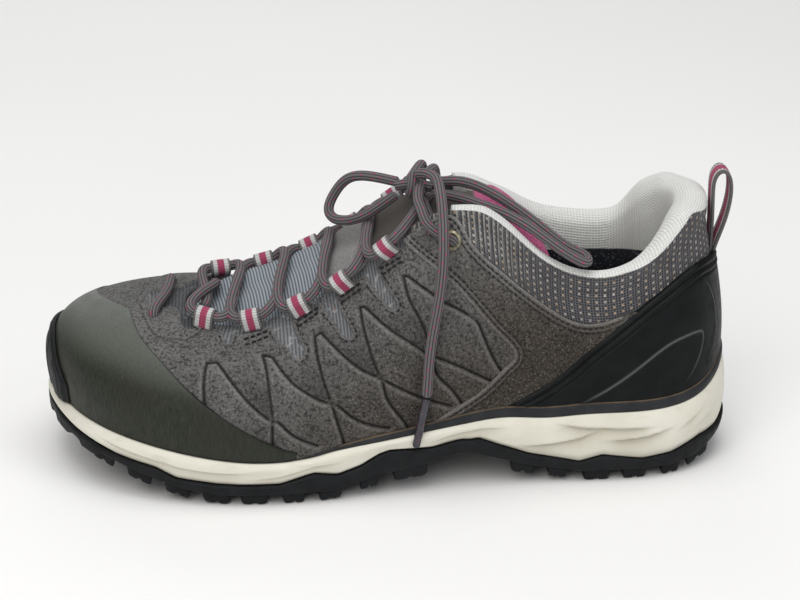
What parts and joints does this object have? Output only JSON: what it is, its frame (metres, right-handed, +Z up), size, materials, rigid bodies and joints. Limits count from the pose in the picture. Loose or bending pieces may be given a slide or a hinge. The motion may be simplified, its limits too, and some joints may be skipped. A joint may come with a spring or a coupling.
{
  "type": "hiking shoe",
  "caption": "Low-cut laced hiking shoe for the left foot: lugged rubber outsole, foam midsole, hollow suede upper, padded collar and tongue, tied lace.",
  "frame": {"origin": "middle of the shoe's box on the floor, the free cords left out", "axes": "+X from toe to heel, -Y towards the outer side of the foot, +Z up from the floor"},
  "size_m": [0.2684, 0.098, 0.1198],
  "materials": {
    "black_rubber": "matte moulded rubber",
    "white_foam": "matte off-white foam",
    "grey_rubber": "satin dark grey rubber",
    "suede": "napped grey-brown suede",
    "toe_rubber": "satin rubberised leather",
    "counter_plastic": "satin black film",
    "lining_mesh": "light grey dotted mesh",
    "tongue_knit": "grey ribbed knit",
    "insole_felt": "dark felt",
    "webbing": "pink and grey woven webbing",
    "lace_braid": "grey round braid with small flecks",
    "eyelet_metal": "dull bronze"
  },
  "bodies": {
    "root": {"outsole": "black_rubber", "toe_bumper": "black_rubber", "midsole": "white_foam", "midsole_band": "grey_rubber", "insole": "insole_felt", "upper": "suede", "toe_cap": "toe_rubber", "heel_counter": "counter_plastic", "quarter_outer": "suede", "quarter_inner": "suede", "collar_lining": "lining_mesh", "tongue": "tongue_knit", "pull_loop": "webbing", "eyelet_outer": "eyelet_metal", "eyelet_inner": "eyelet_metal", "lace_loop_outer_1": "webbing", "lace_loop_inner_1": "webbing", "lace_loop_outer_2": "webbing", "lace_loop_inner_2": "webbing", "lace_loop_outer_3": "webbing", "lace_loop_inner_3": "webbing", "lace_loop_outer_4": "webbing", "lace_loop_inner_4": "webbing", "lace_loop_outer_5": "webbing", "lace_loop_inner_5": "webbing", "lace_bar_front": "lace_braid", "lace_cross_1": "lace_braid", "lace_cross_2": "lace_braid", "lace_cross_3": "lace_braid", "lace_cross_4": "lace_braid", "lace_cross_5": "lace_braid", "lace_cross_6": "lace_braid", "lace_knot": "lace_braid", "lace_bow_front": "lace_braid", "lace_bow_rear": "lace_braid", "lace_end_outer": "lace_braid", "lace_end_inner": "lace_braid", "lace_tag_outer": "lace_braid", "lace_tag_inner": "lace_braid"}
  },
  "joints": []
}
